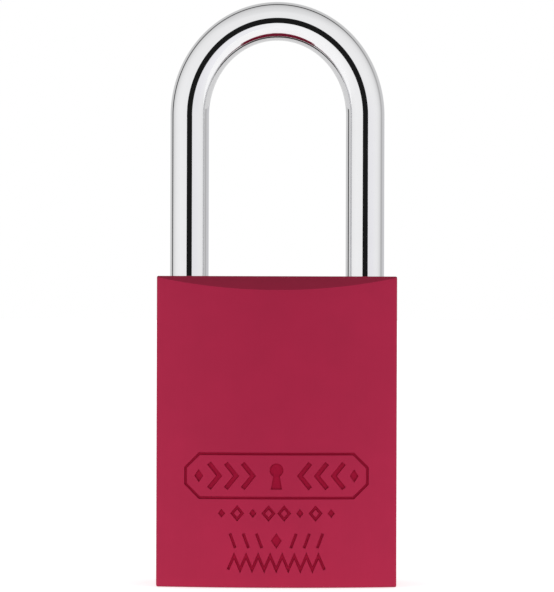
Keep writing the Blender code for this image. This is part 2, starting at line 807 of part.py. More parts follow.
def make_cylinder_screw():
    screw = add_part(
        "cylinder_screw",
        rod(SCREW_RADIUS, SCREW_TOP_Z - SCREW_BOTTOM_Z, PIN_SIDES),
        finishes["hardened_steel"],
        Matrix.Translation((SCREW_X, 0, SCREW_BOTTOM_Z)),
    )
    socket = add_cutter(
        "screw_socket",
        rod(SOCKET_ACROSS_CORNERS / 2, SOCKET_DEPTH + OVERCUT, 6),
        Matrix.Translation((SCREW_X, 0, SCREW_TOP_Z - SOCKET_DEPTH)),
    )
    cut(screw, socket)
    shade_round(screw)


def hold_on_axis(name, pieces):
    """Parents pieces that turn together to an empty on the cylinder's axis."""
    axis = bpy.data.objects.new(name, None)
    parts.objects.link(axis)
    for piece in pieces:
        piece.parent = axis


clear_scene()
parts = new_collection("keyed_padlock")
cutters = new_collection("cutters")
finishes = {
    # name: colour, roughness, metallic
    "red_anodised": new_finish("red_anodised", (0.40, 0.021, 0.064), 0.42, 0.85),
    "chrome": new_finish("chrome", (0.80, 0.80, 0.80), 0.06, 1.0),
    "brass": new_finish("brass", (0.68, 0.50, 0.20), 0.30, 1.0),
    "nickel_silver": new_finish("nickel_silver", (0.62, 0.59, 0.52), 0.32, 1.0),
    "hardened_steel": new_finish("hardened_steel", (0.45, 0.45, 0.46), 0.25, 1.0),
    "spring_steel": new_finish("spring_steel", (0.50, 0.50, 0.52), 0.35, 1.0),
}
make_lock_body()
make_shackle()
make_shackle_spring()
make_balls()
make_housing()
hold_on_axis(
    "plug_axis",
    [make_plug(), *make_pins(), *make_tail_cap(), make_drive_bar(), make_actuator(), *make_drill_pins()],
)
make_cylinder_screw()
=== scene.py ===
"""The looks of the keyed padlock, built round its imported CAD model."""

import json
import math

import bmesh
import bpy
from mathutils import Matrix, Vector


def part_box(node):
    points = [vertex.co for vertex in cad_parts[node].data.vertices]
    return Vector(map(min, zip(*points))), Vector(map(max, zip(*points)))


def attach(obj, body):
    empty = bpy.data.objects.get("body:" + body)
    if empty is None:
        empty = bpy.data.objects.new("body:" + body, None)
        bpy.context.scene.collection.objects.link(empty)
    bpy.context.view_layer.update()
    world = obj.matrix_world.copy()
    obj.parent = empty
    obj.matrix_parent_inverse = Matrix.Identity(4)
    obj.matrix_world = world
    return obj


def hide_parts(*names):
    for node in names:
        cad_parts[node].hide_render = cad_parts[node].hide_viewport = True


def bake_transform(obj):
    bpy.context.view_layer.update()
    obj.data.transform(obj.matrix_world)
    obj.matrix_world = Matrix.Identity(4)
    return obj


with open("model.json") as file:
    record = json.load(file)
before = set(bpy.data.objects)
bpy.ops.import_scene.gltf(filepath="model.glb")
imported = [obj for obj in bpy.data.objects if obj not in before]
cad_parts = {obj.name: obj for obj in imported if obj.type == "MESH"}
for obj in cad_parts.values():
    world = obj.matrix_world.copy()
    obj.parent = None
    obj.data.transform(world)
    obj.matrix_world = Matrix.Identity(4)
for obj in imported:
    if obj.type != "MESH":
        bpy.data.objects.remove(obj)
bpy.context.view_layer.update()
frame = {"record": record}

MM = 0.001
UP, RIGHT, BACK = (0, 0, 1), (1, 0, 0), (0, 1, 0)

# Read from the frame
BODY_LOW, BODY_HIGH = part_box("lock_body")
SHACKLE_LOW, SHACKLE_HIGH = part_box("shackle")
BODY_WIDTH = BODY_HIGH.x - BODY_LOW.x
BODY_HEIGHT = BODY_HIGH.z - BODY_LOW.z
BODY_DEPTH = BODY_HIGH.y - BODY_LOW.y
SHACKLE_RADIUS = (SHACKLE_HIGH.y - SHACKLE_LOW.y) / 2
LEG_X = SHACKLE_HIGH.x - SHACKLE_RADIUS
HEEL_END_Z = SHACKLE_LOW.z
BALL_Z = sum(corner.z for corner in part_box("toe_ball")) / 2

# Repeated from the CAD model, which the frame's boxes don't give
ARCH_RISE = 15.95 * MM
ARCH_Z = SHACKLE_HIGH.z - SHACKLE_RADIUS - ARCH_RISE
BODY_CROWN = 2.1 * MM
CHAMFER_INSET = 0.22 * MM
TOE_END_Z = 36.6 * MM
LEG_HOLE_RADIUS = SHACKLE_RADIUS + 0.2 * MM
TOE_HOLE_FLOOR_Z = 35.4 * MM
HEEL_HOLE_FLOOR_Z = 11.0 * MM
CHANNEL_RADIUS = 3.15 * MM
BALL_LOCKED_X = 9.9 * MM
HEEL_FLAT_DEPTH = 0.8 * MM
HEEL_FLAT_OVERRUN = 2.0 * MM
SHACKLE_LIFT = 16.0 * MM
ACTUATOR_BORE_RADIUS = 6.9 * MM
ACTUATOR_BORE_TOP_Z = 46.5 * MM
HOUSING_TOP_Z = 31.0 * MM
CAVITY_TOP_Z = 31.3 * MM
CAVITY_RADIUS = 7.65 * MM
SLOT_HALF_WIDTH = 3.65 * MM
SLOT_END_X = 15.65 * MM
SCREW_HOLE_RADIUS = 1.35 * MM
SCREW_END_FIT = 0.3 * MM
FACE_RECESS = 0.3 * MM
HOUSING_RADIUS = 7.5 * MM
HOUSING_BORE_RADIUS = 6.1 * MM
PIN_BLOCK_X = 15.5 * MM
PIN_BLOCK_HALF_WIDTH = 3.5 * MM
PLUG_RADIUS = 6.0 * MM
PLUG_FLANGE_RADIUS = 6.6 * MM
PLUG_FLANGE_TOP_Z = 1.4 * MM
PLUG_SHOULDER_Z = 30.7 * MM
PLUG_END_Z = 33.0 * MM
PLUG_NECK_RADIUS = 4.4 * MM
FLANGE_FIT = 0.1 * MM
KEYWAY_HALF_WIDTH = 1.1 * MM
KEYWAY_LOW_Y = -5.2 * MM
KEYWAY_HIGH_Y = 3.0 * MM
KEYWAY_TOP_Z = 28.7 * MM
WARD_GROOVE = (1.7 * MM, -4.0 * MM, -2.8 * MM)  # how far it reaches in X, and where it lies in Y
PIN_HOLE_RADIUS = 1.5 * MM
KEY_PIN_HOLE_START = 0.2 * MM
COVER_FIT = 0.15 * MM
CAP_FIT = 0.15 * MM
CAP_PIN_HOLE_RADIUS = 0.62 * MM
CAP_PIN_HOLE_FLOOR_Z = 27.2 * MM
DRILL_HOLE_RADIUS = 0.8 * MM
DRILL_HOLE_TOP_Z = 6.0 * MM
BAR_HALF_LENGTH = 3.5 * MM
BAR_HALF_WIDTH = 1.1 * MM
BAR_FIT = 0.3 * MM
COLLAR_RADIUS = 3.9 * MM
COLLAR_BOTTOM_Z = 33.4 * MM
COLLAR_TOP_Z = 36.6 * MM
CAM_RADIUS = 6.6 * MM
CAM_GAP = 0.3 * MM
CAM_TOP_Z = 45.0 * MM
CAM_BOSS_RADIUS = 3.0 * MM
CAM_SLOT_DEPTH = 3.0 * MM
SOCKET_RADIUS = 0.75 * MM
SOCKET_DEPTH = 1.4 * MM
PIN_COUNT = 6
DRILL_GUARD_PINS = ("drill_guard_pin_1", "drill_guard_pin_2")
WIRE_OF = {"shackle_spring": 0.35 * MM, "cap_pin_spring": 0.08 * MM, "pin_spring": 0.15 * MM}
TURNS_OF = {"shackle_spring": 7, "cap_pin_spring": 6, "pin_spring": 7}

BODY_OF = {
    node: body for body, nodes in frame["record"]["behaviour"]["bodies"].items() for node in nodes
}
SLOT_OF = {part["node"]: part["material_slot"] for part in frame["record"]["subparts"]}

# Finish of the body's edges and its engraving
EDGE_ROUND = 0.25 * MM
CHAMFER_ROUND = 0.12 * MM
SHADED_CUT_FACE_TILT = 0.5  # faces that point this far up or down get the cut finish with painted shade, a darker red: top, bottom and chamfers
ENGRAVING_DEPTH = 0.30 * MM
WALL_LEAN = 0.08 * MM  # of the engraving's walls, over its depth
FRAME_STROKE = 0.45 * MM
EMBLEM_STROKE = 0.80 * MM
ROW_STROKE = 0.48 * MM
LEG_HOLE_CHAMFER = 0.3 * MM
OVERCUT = 1.0 * MM  # how far a cutter reaches past the surface that it cuts

# How many sides the round pieces have, by their size
LARGE_SIDES, MEDIUM_SIDES, SMALL_SIDES = 144, 96, 64


# ---- meshes -----------------------------------------------------------------------------------

def mesh_from(bm, name):
    bmesh.ops.recalc_face_normals(bm, faces=bm.faces)
    mesh = bpy.data.meshes.new(name)
    bm.to_mesh(mesh)
    bm.free()
    return mesh


def loft(rings, name, closed=False):
    """A surface through rings of equally many points. Its ends are flat, or a ring of one point, or
    joined to each other."""
    bm = bmesh.new()
    loops = [[bm.verts.new(point) for point in ring] for ring in rings]
    if closed:
        loops.append(loops[0])
    for one, other in zip(loops, loops[1:]):
        count = max(len(one), len(other))
        for i in range(count):
            j = (i + 1) % count
            near = [one[i % len(one)], one[j % len(one)]]
            far = [other[j % len(other)], other[i % len(other)]]
            bm.faces.new(list(dict.fromkeys(near + far)))
    for end in () if closed else (loops[0], loops[-1]):
        if len(end) > 2:
            bm.faces.new(end)
    return mesh_from(bm, name)


def circle(radius, sides, height):
    if radius == 0:
        return [(0, 0, height)]
    return [
        (radius * math.cos(math.tau * i / sides), radius * math.sin(math.tau * i / sides), height)
        for i in range(sides)
    ]


def circle_about(centre, out, side, radius, sides):
    """A circle in the plane of two directions."""
    angles = [math.tau * i / sides for i in range(sides)]
    return [centre + (out * math.cos(a) + side * math.sin(a)) * radius for a in angles]


def drum(radius, bottom, top):
    """The profile of a plain cylinder, for turning."""
    return [(0, bottom), (radius, bottom), (radius, top), (0, top)]


def turned(profile, sides, name):
    """A profile of (radius, height) points turned about Z."""
    return loft([circle(radius, sides, height) for radius, height in profile], name)


CORNER_STEPS = 4


def fillet(before, corner, after, radius):
    """The points of an arc that rounds a corner of a flat outline."""
    before, corner, after = Vector(before), Vector(corner), Vector(after)
    one, two = (before - corner).normalized(), (after - corner).normalized()
    half_angle = one.angle(two) / 2
    reach = radius / math.tan(half_angle)
    centre = corner + (one + two).normalized() * (radius / math.sin(half_angle))
    first, last = corner + one * reach - centre, corner + two * reach - centre
    sweep = first.angle_signed(last)
    turn = [Matrix.Rotation(-sweep * i / CORNER_STEPS, 2) for i in range(CORNER_STEPS + 1)]
    return [centre + matrix @ first for matrix in turn]


def softened(profile, radius):
    """A profile with its inner corners rounded."""
    points = [profile[0]]
    for before, corner, after in zip(profile, profile[1:], profile[2:]):
        points += fillet(before, corner, after, radius)
    return points + [profile[-1]]


def rod(radius, bottom, top, sides=SMALL_SIDES):
    """A round cutter. It is turned by half a side, so that its corners miss those of the piece."""
    half_side = Matrix.Rotation(math.pi / sides, 4, "Z")
    return moved(turned([(radius, bottom), (radius, top)], sides, "rod"), half_side)


def block(low, high):
    low, high = Vector(low), Vector(high)
    bm = bmesh.new()
    bmesh.ops.create_cube(bm, size=1)
    bmesh.ops.scale(bm, verts=bm.verts, vec=high - low)
    bmesh.ops.translate(bm, verts=bm.verts, vec=(low + high) / 2)
    return mesh_from(bm, "block")


def joined(meshes, name):
    """Meshes that don't touch each other, as one."""
    bm = bmesh.new()
    for mesh in meshes:
        bm.from_mesh(mesh)
    return mesh_from(bm, name)


def along(direction, start):
    """The matrix that lays a piece's Z along a direction, from a start."""
    turn = Vector(UP).rotation_difference(Vector(direction))
    return Matrix.Translation(start) @ turn.to_matrix().to_4x4()


def moved(mesh, matrix):
    mesh.transform(matrix)
    return mesh


def shifted(mesh, x, z=0.0):
    return moved(mesh, Matrix.Translation((x, 0, z)))


def new_piece(name, mesh, *finishes):
    obj = bpy.data.objects.new(name, mesh)
    for finish in finishes:
        mesh.materials.append(finish)
    bpy.context.scene.collection.objects.link(obj)
    return obj


def combine(obj, others, operation="DIFFERENCE"):
    """Cuts meshes from an object's mesh or adds them to it. Their own materials come with them."""
    helpers = []
    for other in others:
        helper = new_piece("helper", other)
        modifier = obj.modifiers.new(operation.lower(), "BOOLEAN")
        modifier.operation = operation
        modifier.object = helper
        modifier.material_mode = "TRANSFER"
        helpers.append(helper)
    graph = bpy.context.evaluated_depsgraph_get()
    made = bpy.data.meshes.new_from_object(obj.evaluated_get(graph))
    obj.modifiers.clear()
    obj.data = made
    for helper in helpers:
        bpy.data.objects.remove(helper)


def cut(obj, *cutters):
    combine(obj, cutters)


SMOOTH_BELOW = 35  # degrees


def shade_round(obj, degrees=SMOOTH_BELOW):
    obj.data.shade_smooth()
    obj.data.set_sharp_from_angle(angle=math.radians(degrees))


def stand_for(obj, node, degrees=SMOOTH_BELOW):
    """Puts a finished piece in the place of its CAD node, on the same body."""
    shade_round(obj, degrees)
    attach(obj, BODY_OF[node])
    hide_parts(node)


def middle_of(node):
    low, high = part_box(node)
    return (low + high) / 2


def standing_hole(node, radius, bottom, top):
    """The cutter of a hole along Z, in line with the node that goes into it."""
    return shifted(rod(radius, bottom, top, sides=40), x=middle_of(node).x)


def soften(mesh, width):
    """Rounds a mesh's sharp edges."""
    sharp = math.radians(40)
    bm = bmesh.new()
    bm.from_mesh(mesh)
    edges = [edge for edge in bm.edges if edge.calc_face_angle(0) > sharp]
    bmesh.ops.bevel(
        bm, geom=edges, offset=width, segments=3, profile=0.5, affect="EDGES", clamp_overlap=True
    )
    return mesh_from(bm, mesh.name)


# ---- materials --------------------------------------------------------------------------------

NOISE_RANGE = (0.3, 0.7)  # where most of a noise's values lie
MOTTLE_SCALE, GRAIN_SCALE, CLOUD_SCALE = 180, 9000, 250  # per metre
MOTTLE, ROUGHNESS_WANDER = 0.03, 0.03  # of the anodised finishes, up and down
CLOUDED = 0.985  # the polished metals' darkest, as a share of their colour


class Tree:
    """A node tree, with short ways to add and join nodes."""

    def __init__(self, tree):
        self.tree = tree

    def add(self, kind, **settings):
        node = self.tree.nodes.new(kind)
        for key, value in settings.items():
            setattr(node, key, value)
        return node

    def join(self, source, target):
        self.tree.links.new(source, target)

    def calculate(self, operation, one, other):
        node = self.add("ShaderNodeMath", operation=operation)
        for socket, value in zip(node.inputs, (one, other)):
            if isinstance(value, (int, float)):
                socket.default_value = value
            else:
                self.join(value, socket)
        return node.outputs[0]

    def between(self, share, start, end):
        """A number that goes from start to end as a share goes from 0 to 1."""
        return self.calculate("ADD", self.calculate("MULTIPLY", share, end - start), start)

    def mix(self, share, colour_a, colour_b):
        node = self.add("ShaderNodeMix", data_type="RGBA")
        node.inputs["A"].default_value = (*colour_a, 1)
        node.inputs["B"].default_value = (*colour_b, 1)
        self.join(share, node.inputs["Factor"])
        return node.outputs["Result"]


class Graph(Tree):
    """A material's node tree."""

    def __init__(self, name):
        self.material = bpy.data.materials.new(name)
        self.material.use_nodes = True
        super().__init__(self.material.node_tree)
        self.shader = self.tree.nodes["Principled BSDF"]
        self.place = self.add("ShaderNodeTexCoord").outputs["Object"]

    def stretched(self, scale):
        """Object coordinates scaled per axis, so that a texture runs in lines."""
        mapping = self.add("ShaderNodeMapping")
        mapping.inputs["Scale"].default_value = scale
        self.join(self.place, mapping.inputs["Vector"])
        return mapping.outputs["Vector"]

    def noise(self, scale, detail, coordinates=None):
        node = self.add("ShaderNodeTexNoise")
        node.inputs["Scale"].default_value = scale
        node.inputs["Detail"].default_value = detail
        self.join(coordinates or self.place, node.inputs["Vector"])
        return node.outputs["Fac"]

    def ramp(self, value, low, high):
        """Takes a noise's middle range to a range of numbers."""
        node = self.add("ShaderNodeMapRange")
        node.inputs["From Min"].default_value, node.inputs["From Max"].default_value = NOISE_RANGE
        node.inputs["To Min"].default_value = low
        node.inputs["To Max"].default_value = high
        self.join(value, node.inputs["Value"])
        return node.outputs["Result"]

    def bump(self, height, strength, distance, after=None):
        node = self.add("ShaderNodeBump")
        node.inputs["Strength"].default_value = strength
        node.inputs["Distance"].default_value = distance
        self.join(height, node.inputs["Height"])
        if after is not None:
            self.join(after, node.inputs["Normal"])
        return node.outputs["Normal"]


def shade(colour, factor):
    return tuple(channel * factor for channel in colour)


def anodised(name, colour, roughness, metallic, line_scale, specular=0.3):
    """Dyed anodised aluminium: a fine blasted grain, and faint lines left by the extrusion or the
    cutter, which run across the direction with the largest scale."""
    g = Graph(name)
    mottle = g.noise(MOTTLE_SCALE, detail=4)
    lines = g.noise(1.0, detail=3, coordinates=g.stretched(line_scale))
    grain = g.noise(GRAIN_SCALE, detail=2)
    tint = g.mix(g.ramp(mottle, 0, 1), shade(colour, 1 - MOTTLE), shade(colour, 1 + MOTTLE))
    g.join(tint, g.shader.inputs["Base Color"])
    dull = g.ramp(lines, roughness - ROUGHNESS_WANDER, roughness + ROUGHNESS_WANDER)
    g.join(dull, g.shader.inputs["Roughness"])
    g.shader.inputs["Metallic"].default_value = metallic
    g.shader.inputs["Specular IOR Level"].default_value = specular
    fine = g.bump(grain, strength=0.10, distance=0.02 * MM)
    g.join(g.bump(lines, strength=0.06, distance=0.02 * MM, after=fine), g.shader.inputs["Normal"])
    return g.material


def polished_metal(name, colour, roughness, wander, line_scale, line_strength):
    """Metal with hairlines in one direction and a slightly uneven polish."""
    g = Graph(name)
    clouds = g.noise(CLOUD_SCALE, detail=3)
    lines = g.noise(1.0, detail=3, coordinates=g.stretched(line_scale))
    tint = g.mix(g.ramp(clouds, 0, 1), shade(colour, CLOUDED), colour)
    g.join(tint, g.shader.inputs["Base Color"])
    g.join(g.ramp(clouds, roughness - wander, roughness + wander), g.shader.inputs["Roughness"])
    g.shader.inputs["Metallic"].default_value = 1.0
    g.join(g.bump(lines, line_strength, distance=0.01 * MM), g.shader.inputs["Normal"])
    return g.material


RED = (0.395, 0.0110, 0.0540)
GROOVE_SHADE_RED = (0.335, 0.0050, 0.0340)  # the body's red darkened in the engraving's grooves: painted shade in the recesses
finishes = {
    # name, colour, roughness, metallic, scale of the lines
    "anodised_aluminium": anodised("anodised_red", RED, 0.50, 0.40, (4000, 4000, 60)),
    # The cut faces: their darker red is painted shade on the top, chamfers and bottom; roughness,
    # metallic and lines are the cut finish
    "cut_shaded_aluminium": anodised("cut_shaded_red", shade(RED, 0.70), 0.40, 0.60, (60, 6000, 6000)),
    # The grooves' darker red and weaker sheen are painted shade in the engraving's recesses
    "engraved_shaded_aluminium": anodised(
        "engraved_shaded_red", GROOVE_SHADE_RED, 0.50, 0.40, (900, 900, 900), specular=0.1
    ),
    # name, colour, roughness and how far it wanders, scale and strength of the hairlines
    "chromed_steel": polished_metal(
        "chrome", (0.78, 0.78, 0.79), 0.045, 0.01, (3000, 3000, 40), 0.01
    ),
    "brass": polished_metal(
        "machined_brass", (0.70, 0.50, 0.20), 0.28, 0.05, (200, 200, 9000), 0.10
    ),
    "nickel_silver": polished_metal(
        "nickel_silver", (0.62, 0.59, 0.52), 0.30, 0.05, (200, 200, 9000), 0.10
    ),
    "hardened_steel": polished_metal(
        "hardened_steel", (0.42, 0.42, 0.44), 0.24, 0.05, (300, 300, 6000), 0.06
    ),
    "spring_steel": polished_metal(
        "spring_steel", (0.52, 0.52, 0.54), 0.30, 0.05, (400, 400, 400), 0.02
    ),
}


# ---- body -------------------------------------------------------------------------------------

FACE_RUNGS = 26  # up the front and the back
LEAST_ROUND = 0.01 * MM


def half_depth(x):
    """Half of the body's depth at x: the front and back are arcs."""
    radius = ((BODY_WIDTH / 2) ** 2 + BODY_CROWN**2) / (2 * BODY_CROWN)
    return BODY_DEPTH / 2 - radius + math.sqrt(radius**2 - x**2)


def body_section(x, inset):
    """The body's (y, z) outline at x, all of it moved in by an inset."""
    face_y = half_depth(x) - inset
    top_z = BODY_HEIGHT - inset
    rim_y = half_depth(BODY_WIDTH / 2) - CHAMFER_INSET - inset * (math.sqrt(2) - 1)
    chamfer_z = top_z - (face_y - rim_y)
    half = [(face_y, inset), (face_y, chamfer_z), (rim_y, top_z)]
    outline = half + [(-y, z) for y, z in reversed(half)]
    radii = [EDGE_ROUND, CHAMFER_ROUND, CHAMFER_ROUND]
    radii += list(reversed(radii))
    points = []
    for i, (corner, radius) in enumerate(zip(outline, radii)):
        size = max(radius - inset, LEAST_ROUND)
        following = outline[(i + 1) % len(outline)]
        points += fillet(outline[i - 1], corner, following, size)
        if abs(following[1] - corner[1]) > BODY_HEIGHT / 2:
            low, high = sorted((corner[1], following[1]))
            rungs = [low + (high - low) * k / FACE_RUNGS for k in range(1, FACE_RUNGS)]
            if following[1] < corner[1]:
                rungs.reverse()
            points += [(corner[0], z) for z in rungs]
    return [(x, y, z) for y, z in points]


def body_blank():
    """The solid body before it is bored: sections from side to side, rounded in at both sides."""
    steps, rounding = 80, 5
    half_width = BODY_WIDTH / 2
    stations = [
        (half_width - EDGE_ROUND * (1 - math.sin(a)), EDGE_ROUND * (1 - math.cos(a)))
        for a in (math.pi / 2 * i / rounding for i in range(rounding, 0, -1))
    ]
    flat = half_width - EDGE_ROUND
    middle = [(-flat + 2 * flat * i / steps, 0.0) for i in range(steps + 1)]
    rows = [(-x, inset) for x, inset in stations] + middle
    rows += [(x, inset) for x, inset in reversed(stations)]
    mesh = loft([body_section(x, inset) for x, inset in rows], "padlock_body")
    # Faces that point up or down take the cut finish, its darker red painted shade
    for face in mesh.polygons:
        face.material_index = 1 if abs(face.normal.z) > SHADED_CUT_FACE_TILT else 0
    return mesh


# ---- ornament engraved in the front -----------------------------------------------------------

FRAME_HALF_WIDTH = 15.1 * MM
FRAME_LOW, FRAME_HIGH = 14.9 * MM, 22.2 * MM
FRAME_CORNER = 2.3 * MM
FRAME_STEP = 2.0 * MM
EMBLEM_Z = (FRAME_LOW + FRAME_HIGH) / 2
KEYHOLE_Z = EMBLEM_Z + 0.95 * MM
CHEVRON_TIPS = (3.9 * MM, 6.7 * MM, 9.5 * MM)
CHEVRON_REACH, CHEVRON_ARM = 1.7 * MM, 2.1 * MM
SIDE_DIAMOND_X = 12.9 * MM
DIAMOND_ROW_Z = 12.35 * MM
SOLID_DIAMONDS, OPEN_DIAMONDS = (3.9 * MM, 9.1 * MM), (1.3 * MM, 6.5 * MM)
SLANTED_BARS = (2.4 * MM, 4.6 * MM, 6.8 * MM)
SLANT, SLANT_LOW, SLANT_HIGH = 0.9 * MM, 6.6 * MM, 9.0 * MM
ZIGZAG_PEAKS = 8
ZIGZAG_HALF_WIDTH, ZIGZAG_LOW, ZIGZAG_HIGH = 8.0 * MM, 3.0 * MM, 5.3 * MM
# Half width and half height of the solid diamonds and the open ones
SIDE_DIAMOND, MIDDLE_DIAMOND = (0.75 * MM, 1.1 * MM), (0.9 * MM, 1.3 * MM)
SOLID_DIAMOND, OPEN_DIAMOND = (0.6 * MM, 0.75 * MM), (0.85 * MM, 1.0 * MM)


def groove(points, width, closed=False):
    """A cutter for a groove along a line of (x, z) points on the front. Its walls lean outwards and
    its floor follows the face."""
    line = [Vector(point) for point in points]
    count = len(line)
    rings = []
    for i, point in enumerate(line):
        arriving = (point - line[i - 1]).normalized() if i > 0 or closed else None
        leaving = (line[(i + 1) % count] - point).normalized() if i < count - 1 or closed else None
        one, other = arriving or leaving, leaving or arriving
        mitre = (one.orthogonal() + other.orthogonal()).normalized()
        mitre /= mitre.dot(one.orthogonal())
        ring = []
        for half, lift in (
            (width / 2 - WALL_LEAN, -ENGRAVING_DEPTH),
            (-width / 2 + WALL_LEAN, -ENGRAVING_DEPTH),
            (-width / 2 - WALL_LEAN, ENGRAVING_DEPTH),
            (width / 2 + WALL_LEAN, ENGRAVING_DEPTH),
        ):
            x, z = point + mitre * half
            ring.append((x, -half_depth(x) - lift, z))
        rings.append(ring)
    return loft(rings, "groove", closed=closed)


def split(points, step):
    """A closed line with its long stretches cut into steps, so that a groove follows the arc."""
    line = []
    for start, end in zip(points, points[1:] + points[:1]):
        start, end = Vector(start), Vector(end)
        count = max(1, math.ceil((end - start).length / step))
        line += [start.lerp(end, i / count) for i in range(count)]
    return line


def pocket(outline):
    """A cutter for a filled shape: an outline of (x, z) points, sunk into the front."""
    middle = sum((Vector(p) for p in outline), Vector((0, 0))) / len(outline)
    rings = []
    for lean, lift in ((-WALL_LEAN, -ENGRAVING_DEPTH), (WALL_LEAN, ENGRAVING_DEPTH)):
        ring = []
        for point in outline:
            x, z = Vector(point) + (Vector(point) - middle).normalized() * lean
            ring.append((x, -half_depth(x) - lift, z))
        rings.append(ring)
    return loft(rings, "pocket")


def keyhole(centre_z):
    """A round keyhole with a flared skirt."""
    radius, foot_z = 1.15 * MM, centre_z - 3.2 * MM
    skirt_top, skirt_foot = 0.55 * MM, 0.95 * MM
    start = math.asin(skirt_top / radius)
    steps = 28
    turn = [start - math.pi / 2 + (math.tau - 2 * start) * i / steps for i in range(steps + 1)]
    arc = [(radius * math.cos(a), centre_z + radius * math.sin(a)) for a in turn]
    return [*arc, (-skirt_foot, foot_z), (skirt_foot, foot_z)]


def diamond(x, z, half_width, half_height):
    return [(x + half_width, z), (x, z + half_height), (x - half_width, z), (x, z - half_height)]


def frame_mark():
    across, low, high, corner = FRAME_HALF_WIDTH, FRAME_LOW, FRAME_HIGH, FRAME_CORNER
    line = [
        (across, low + corner), (across, high - corner), (across - corner, high),
        (corner - across, high), (-across, high - corner), (-across, low + corner),
        (corner - across, low), (across - corner, low),
    ]
    return groove(split(line, FRAME_STEP), FRAME_STROKE, closed=True)


def side_marks(side):
    """The marks to one side of the middle, -1 or 1."""
    marks = []
    for x in CHEVRON_TIPS:
        tip, back = side * x, side * (x + CHEVRON_REACH)
        chevron = [(back, EMBLEM_Z - CHEVRON_ARM), (tip, EMBLEM_Z), (back, EMBLEM_Z + CHEVRON_ARM)]
        marks.append(groove(chevron, EMBLEM_STROKE))
    marks.append(pocket(diamond(side * SIDE_DIAMOND_X, EMBLEM_Z, *SIDE_DIAMOND)))
    for x in SOLID_DIAMONDS:
        marks.append(pocket(diamond(side * x, DIAMOND_ROW_Z, *SOLID_DIAMOND)))
    for x in OPEN_DIAMONDS:
        outline = diamond(side * x, DIAMOND_ROW_Z, *OPEN_DIAMOND)
        marks.append(groove(outline, ROW_STROKE, closed=True))
    for x in SLANTED_BARS:
        bar = [(side * x, SLANT_LOW), (side * (x + SLANT), SLANT_HIGH)]
        marks.append(groove(bar, ROW_STROKE))
    return marks


def zigzag_mark():
    line = [
        (ZIGZAG_HALF_WIDTH * (i / ZIGZAG_PEAKS - 1), ZIGZAG_HIGH if i % 2 else ZIGZAG_LOW)
        for i in range(2 * ZIGZAG_PEAKS + 1)
    ]
    return groove(line, ROW_STROKE)


def ornament():
    """A cut-corner frame round a keyhole and chevrons, over three rows of plain marks."""
    return [
        frame_mark(),
        pocket(keyhole(KEYHOLE_Z)),
        *side_marks(-1),
        *side_marks(1),
        pocket(diamond(0, (SLANT_LOW + SLANT_HIGH) / 2, *MIDDLE_DIAMOND)),
        zigzag_mark(),
    ]


def leg_hole(x, floor_z):
    """A cutter for a leg hole, with a small chamfer round its mouth."""
    mouth_radius = LEG_HOLE_RADIUS + LEG_HOLE_CHAMFER
    profile = [
        (LEG_HOLE_RADIUS, floor_z),
        (LEG_HOLE_RADIUS, BODY_HEIGHT - LEG_HOLE_CHAMFER),
        (mouth_radius, BODY_HEIGHT),
        (mouth_radius, BODY_HEIGHT + OVERCUT),
    ]
    return shifted(turned(profile, MEDIUM_SIDES, "leg_hole"), x)


def make_body():
    body = new_piece(
        "padlock_body", body_blank(), finishes["anodised_aluminium"], finishes["cut_shaded_aluminium"]
    )
    toe = leg_hole(LEG_X, TOE_HOLE_FLOOR_Z)
    heel = leg_hole(-LEG_X, HEEL_HOLE_FLOOR_Z)
    reach = LEG_X - LEG_HOLE_RADIUS + OVERCUT
    channel = moved(rod(CHANNEL_RADIUS, 0, 2 * reach), along(RIGHT, (-reach, 0, BALL_Z)))
    actuator_bore = rod(ACTUATOR_BORE_RADIUS, HOUSING_TOP_Z, ACTUATOR_BORE_TOP_Z, MEDIUM_SIDES)
    cylinder_bore = rod(CAVITY_RADIUS, -OVERCUT, CAVITY_TOP_Z, MEDIUM_SIDES)
    slot = block((0, -SLOT_HALF_WIDTH, -OVERCUT), (SLOT_END_X, SLOT_HALF_WIDTH, CAVITY_TOP_Z))
    screw_hole = standing_hole(
        "cylinder_screw", SCREW_HOLE_RADIUS, CAVITY_TOP_Z - OVERCUT, TOE_HOLE_FLOOR_Z + OVERCUT
    )
    cut(body, toe, heel, actuator_bore, channel, cylinder_bore, slot, screw_hole)
    marks = ornament()
    # The grooves take a darker red: painted shade in the engraving's recesses
    for mark in marks:
        mark.materials.append(finishes["engraved_shaded_aluminium"])
    cut(body, *marks)
    stand_for(body, "lock_body")


# ---- shackle ----------------------------------------------------------------------------------

# How far in from the bar's radius its ends are, by the distance from the end
BAR_END = [(0.0, 0.6 * MM), (0.1 * MM, 0.35 * MM), (0.25 * MM, 0.15 * MM), (0.45 * MM, 0.03 * MM)]


def shackle_centres():
    """(centre, direction of travel) along the bar, from the heel end to the toe end."""
    leg_step = 1.5 * MM
    arch_steps = 120
    heel_count = round((ARCH_Z - HEEL_END_Z) / leg_step)
    toe_count = round((ARCH_Z - TOE_END_Z) / leg_step)
    heel = [
        (Vector((-LEG_X, 0, HEEL_END_Z + (ARCH_Z - HEEL_END_Z) * i / heel_count)), 0.0)
        for i in range(heel_count)
    ]
    arch = [
        (
            Vector((-LEG_X * math.cos(a), 0, ARCH_Z + ARCH_RISE * math.sin(a))),
            math.pi / 2 - math.atan2(ARCH_RISE * math.cos(a), LEG_X * math.sin(a)),
        )
        for a in (math.pi * i / arch_steps for i in range(arch_steps + 1))
    ]
    toe = [
        (Vector((LEG_X, 0, ARCH_Z - (ARCH_Z - TOE_END_Z) * i / toe_count)), math.pi)
        for i in range(1, toe_count + 1)
    ]
    return heel + arch + toe


